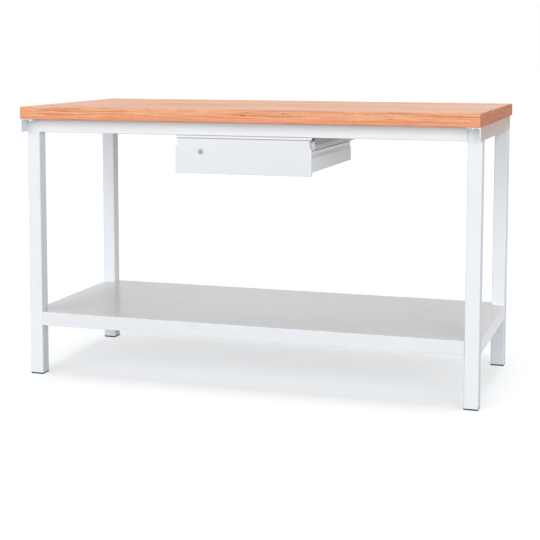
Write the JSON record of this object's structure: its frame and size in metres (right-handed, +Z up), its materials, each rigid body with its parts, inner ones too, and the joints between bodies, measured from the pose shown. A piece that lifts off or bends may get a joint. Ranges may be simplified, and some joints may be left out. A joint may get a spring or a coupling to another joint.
{
  "type": "assembly table",
  "caption": "Assembly table: beech multiplex top on a square-tube steel frame, folded steel shelf near the floor and a lockable roller-run drawer under the top.",
  "frame": {"origin": "on the floor, under the middle of the tabletop", "axes": "+X along the table's length, to the right as seen from the front; +Y from the front (the drawer's side) to the rear; +Z up"},
  "size_m": [1.5, 0.75, 0.9],
  "materials": {
    "beech": "clear matt lacquer over beech multiplex",
    "frame_paint": "light grey powder coat",
    "shelf_paint": "light grey powder coat",
    "drawer_paint": "light grey powder coat",
    "runner_paint": "light grey powder coat",
    "zinc": "bright zinc plated",
    "nylon": "white nylon",
    "foot_plastic": "dark grey moulded plastic",
    "lock_chrome": "nickel plated"
  },
  "bodies": {
    "table": {"tabletop": "beech", "leg_front_left": "frame_paint", "leg_front_right": "frame_paint", "leg_rear_left": "frame_paint", "leg_rear_right": "frame_paint", "foot_front_left": "foot_plastic", "foot_front_right": "foot_plastic", "foot_rear_left": "foot_plastic", "foot_rear_right": "foot_plastic", "end_angle_left": "frame_paint", "end_angle_right": "frame_paint", "front_rail": "frame_paint", "rear_rail": "frame_paint", "shelf": "shelf_paint", "shelf_stiffener": "shelf_paint", "shelf_bolts": "zinc", "shelf_inserts": "zinc", "tabletop_screws": "zinc", "strike_channel": "frame_paint", "drawer_hanger_left": "frame_paint", "drawer_hanger_right": "frame_paint", "hanger_screws": "zinc", "runner_left": "runner_paint", "runner_right": "runner_paint", "front_roller_pins": "zinc"},
    "drawer": {"drawer_tray": "drawer_paint", "drawer_back": "drawer_paint", "drawer_front": "drawer_paint", "rear_roller_pins": "zinc", "lock_body": "lock_chrome", "lock_nut": "zinc"},
    "lock": {"lock_cylinder": "lock_chrome", "lock_cam": "zinc", "cam_screw": "zinc"},
    "roller_front_left": {"front_roller_left": "nylon"},
    "roller_front_right": {"front_roller_right": "nylon"},
    "roller_rear_left": {"rear_roller_left": "nylon"},
    "roller_rear_right": {"rear_roller_right": "nylon"}
  },
  "joints": [
    {"name": "drawer_slide", "type": "slide", "parent": "table", "child": "drawer", "axis": [0, -1, 0], "range_m": [0, 0.42]},
    {"name": "lock_turn", "type": "hinge", "parent": "drawer", "child": "lock", "pos_m": [-0.139, -0.325, 0.764], "axis": [0, -1, 0], "range_deg": [0, 90]},
    {"name": "front_left_roll", "type": "hinge", "parent": "table", "child": "roller_front_left", "pos_m": [-0.2202, -0.268, 0.7897], "axis": [1, 0, 0], "continuous": true},
    {"name": "front_right_roll", "type": "hinge", "parent": "table", "child": "roller_front_right", "pos_m": [0.2202, -0.268, 0.7897], "axis": [1, 0, 0], "continuous": true},
    {"name": "rear_left_roll", "type": "hinge", "parent": "drawer", "child": "roller_rear_left", "pos_m": [-0.2183, 0.1792, 0.7852], "axis": [1, 0, 0], "continuous": true},
    {"name": "rear_right_roll", "type": "hinge", "parent": "drawer", "child": "roller_rear_right", "pos_m": [0.2183, 0.1792, 0.7852], "axis": [1, 0, 0], "continuous": true}
  ]
}
